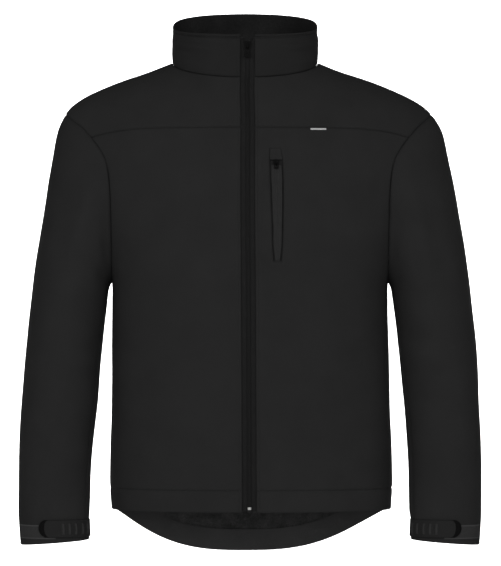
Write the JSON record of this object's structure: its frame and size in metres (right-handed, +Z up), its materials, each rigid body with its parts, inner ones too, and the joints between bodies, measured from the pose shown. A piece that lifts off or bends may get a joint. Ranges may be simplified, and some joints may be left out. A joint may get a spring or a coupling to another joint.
{
  "type": "softshell jacket",
  "caption": "Softshell jacket in its worn shape with nobody inside: stand-up collar, full front zip, front yokes, zipped chest pocket, cuff straps and a longer rounded back",
  "frame": {"origin": "middle of the neck opening at the height of the neck seam on the shoulders, where the jacket is held", "axes": "+Z up, -Y out of the front, +X to the wearer's left"},
  "size_m": [0.7142, 0.2488, 0.8423],
  "materials": {
    "cloth": "matt softshell, finely woven",
    "fleece": "short brushed fleece",
    "tape": "woven tape",
    "teeth": "moulded, half matt",
    "slider": "black lacquer",
    "strap": "matt, with moulded ribs",
    "loop": "looped pile",
    "label": "plain woven tape"
  },
  "bodies": {
    "jacket": {"front_left": "cloth", "front_right": "cloth", "yoke_left": "cloth", "yoke_right": "cloth", "back": "cloth", "sleeve_left": "cloth", "sleeve_right": "cloth", "collar": "cloth", "collar_lining": "fleece", "tail_facing": "fleece", "pocket_garage": "cloth", "zip_tape_left": "tape", "zip_tape_right": "tape", "pocket_tape_inner": "tape", "pocket_tape_outer": "tape", "zip_chain": "teeth", "zip_box": "teeth", "pocket_chain": "teeth", "zip_slider": "slider", "pocket_slider": "slider", "cuff_tab_left": "strap", "cuff_tab_right": "strap", "cuff_loop_left": "loop", "cuff_loop_right": "loop", "label_tab": "label"},
    "front_pull": {"zip_pull": "slider"},
    "chest_pull": {"pocket_pull": "slider"}
  },
  "joints": [
    {"name": "front_pull_hinge", "type": "hinge", "parent": "jacket", "child": "front_pull", "pos_m": [-0.00382, -0.07846, 0.0212], "axis": [-1, 0, 0], "range_deg": [0, 140]},
    {"name": "chest_pull_hinge", "type": "hinge", "parent": "jacket", "child": "chest_pull", "pos_m": [0.03993, -0.11406, -0.15802], "axis": [-0.9991, -0.043, 0], "range_deg": [0, 140]}
  ]
}
